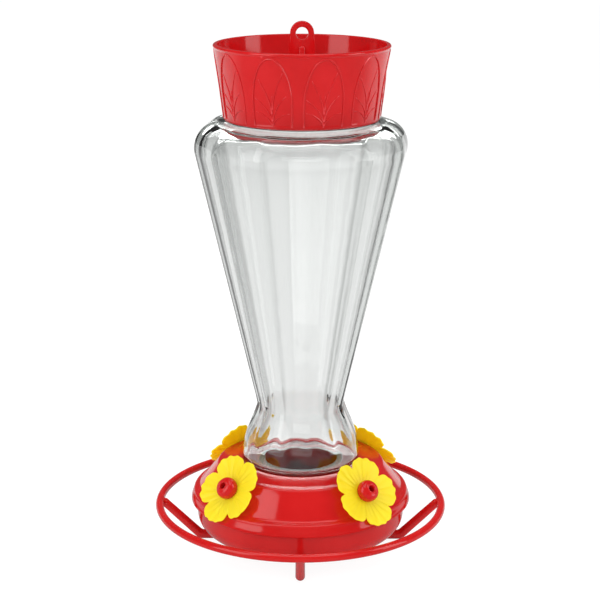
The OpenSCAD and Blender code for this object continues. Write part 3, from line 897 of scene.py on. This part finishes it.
def mixed(tree, factor, without, with_factor):
    """A value that changes from one to another where factor is 1; each is a number or an output."""
    node = add_node(tree, "ShaderNodeMix", data_type="FLOAT")
    for label, value in (("Factor", factor), ("A", without), ("B", with_factor)):
        if isinstance(value, (int, float)):
            node.inputs[label].default_value = value
        else:
            tree.links.new(value, node.inputs[label])
    return node.outputs["Result"]


# %% World
DIFFUSE_LEVEL = 0.55
GLOSSY_LEVEL = 0.12
world = bpy.data.worlds.new("studio")
bpy.context.scene.world = world
world.use_nodes = True
tree = world.node_tree
background = tree.nodes["Background"]
background.inputs["Color"].default_value = (1, 1, 1, 1)
paths = add_node(tree, "ShaderNodeLightPath")
view = add_node(tree, "ShaderNodeTexCoord")
behind = add_node(tree, "ShaderNodeGroup", node_tree=backdrop)
tree.links.new(view.outputs["Generated"], behind.inputs["Vector"])
plain = mixed(tree, paths.outputs["Is Glossy Ray"], DIFFUSE_LEVEL, GLOSSY_LEVEL)
through = mixed(tree, paths.outputs["Is Transmission Ray"], plain, behind.outputs["Level"])
tree.links.new(mixed(tree, paths.outputs["Is Camera Ray"], through, 1.0), background.inputs["Strength"])

# %% Floor
PAINT_DIRECT, PAINT_BOUNCED = 0.15, 0.9
MIRRORED_NEAR, MIRRORED_FAR = 0.2, 0.85
FLOOR_GLOW = 0.93
only(bottle)
bpy.ops.mesh.primitive_plane_add(size=14, location=(0, 0, -0.0005))
floor = bpy.context.object
floor.name = "floor"
floor_material, floor_tree, floor_shader = new_material("white_floor")
floor_shader.inputs["Roughness"].default_value = 0.9
floor_shader.inputs["Specular IOR Level"].default_value = 0.0
floor_shader.inputs["Emission Color"].default_value = (1, 1, 1, 1)
floor_paths = add_node(floor_tree, "ShaderNodeLightPath")
spot = add_node(floor_tree, "ShaderNodeTexCoord")
around = add_node(floor_tree, "ShaderNodeGroup", node_tree=backdrop)
floor_tree.links.new(spot.outputs["Object"], around.inputs["Vector"])
paint = mixed(floor_tree, floor_paths.outputs["Is Diffuse Ray"], PAINT_DIRECT, PAINT_BOUNCED)
floor_parts = add_node(floor_tree, "ShaderNodeSeparateXYZ")
mirrored_level = add_node(floor_tree, "ShaderNodeMapRange")
mirrored_level.inputs["From Min"].default_value = -0.1
mirrored_level.inputs["From Max"].default_value = 0.3
mirrored_level.inputs["To Min"].default_value = MIRRORED_NEAR
mirrored_level.inputs["To Max"].default_value = MIRRORED_FAR
floor_tree.links.new(spot.outputs["Object"], floor_parts.inputs["Vector"])
floor_tree.links.new(floor_parts.outputs["Y"], mirrored_level.inputs["Value"])
mirrored = mixed(floor_tree, floor_paths.outputs["Is Glossy Ray"], 0.0, mirrored_level.outputs["Result"])
floor_through = mixed(floor_tree, floor_paths.outputs["Is Transmission Ray"], mirrored,
                      around.outputs["Level"])
glow = mixed(floor_tree, floor_paths.outputs["Is Camera Ray"], floor_through, 1.0)
dimmed = add_node(floor_tree, "ShaderNodeMath", operation="MULTIPLY")
dimmed.inputs[1].default_value = FLOOR_GLOW
floor_tree.links.new(glow, dimmed.inputs[0])
floor_tree.links.new(paint, floor_shader.inputs["Base Color"])
floor_tree.links.new(dimmed.outputs["Value"], floor_shader.inputs["Emission Strength"])
floor.data.materials.append(floor_material)


# %% Lamps
def soft_box(name, place, size, brightness, aim=(0, 0, 0.15), mirrored=True):
    """A rectangular lamp of a given brightness, where 1 is white, that faces the feeder."""
    lamp = bpy.data.lights.new(name, "AREA")
    lamp.shape = "RECTANGLE"
    lamp.size, lamp.size_y = size
    lamp.energy = brightness * math.pi * size[0] * size[1]
    obj = bpy.data.objects.new(name, lamp)
    bpy.context.scene.collection.objects.link(obj)
    obj.visible_glossy = mirrored
    facing = Vector(aim) - Vector(place)
    obj.matrix_world = Matrix.Translation(place) @ facing.to_track_quat("-Z", "Y").to_matrix().to_4x4()
    return obj


soft_box("box_left", (-1.1, -0.8, 0.75), (0.8, 1.4), 2.2)
soft_box("box_right", (1.25, -0.35, 0.65), (0.6, 1.3), 2.4)
soft_box("box_top", (0, -0.15, 1.6), (1.3, 1.1), 1.8)
soft_box("box_back", (0, 1.0, 0.8), (1.4, 0.7), 4.2, aim=(0, 0, 0.05), mirrored=False)
soft_box("box_front", (0, -2.0, 0.95), (1.6, 1.0), 2.0, mirrored=False)

# %% [markdown]
# The flat seals stay as the CAD model has them and only get a material.

for name, material in (("cap_gasket", rubber), ("bottle_seal", soft_red), ("bowl_seal", rubber)):
    nodes[name].data.materials.clear()
    nodes[name].data.materials.append(material)
